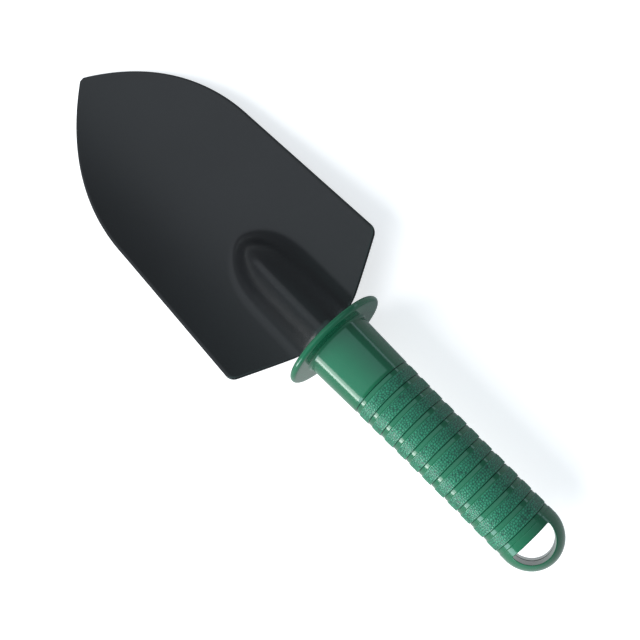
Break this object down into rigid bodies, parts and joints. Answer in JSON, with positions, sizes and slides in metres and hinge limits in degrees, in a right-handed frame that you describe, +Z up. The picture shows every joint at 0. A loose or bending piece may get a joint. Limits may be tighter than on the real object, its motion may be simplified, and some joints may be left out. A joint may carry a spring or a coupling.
{
  "type": "hand trowel",
  "caption": "Garden hand trowel: wide pointed dished steel blade with a pressed rib, in a round moulded plastic handle with a guard, ringed grip and hanging loop.",
  "frame": {"origin": "bottom centre of the bounding box, on the surface the trowel lies on", "axes": "+X along the handle towards the blade's tip, +Z up with the hollow of the blade facing up, Y across; symmetric about the XZ plane"},
  "size_m": [0.2972, 0.087, 0.0467],
  "materials": {
    "powder_coat": "satin black powder coat",
    "green_plastic": "gloss moulded green, grained bands on the grip"
  },
  "bodies": {
    "root": {"blade": "powder_coat", "handle": "green_plastic"}
  },
  "joints": []
}
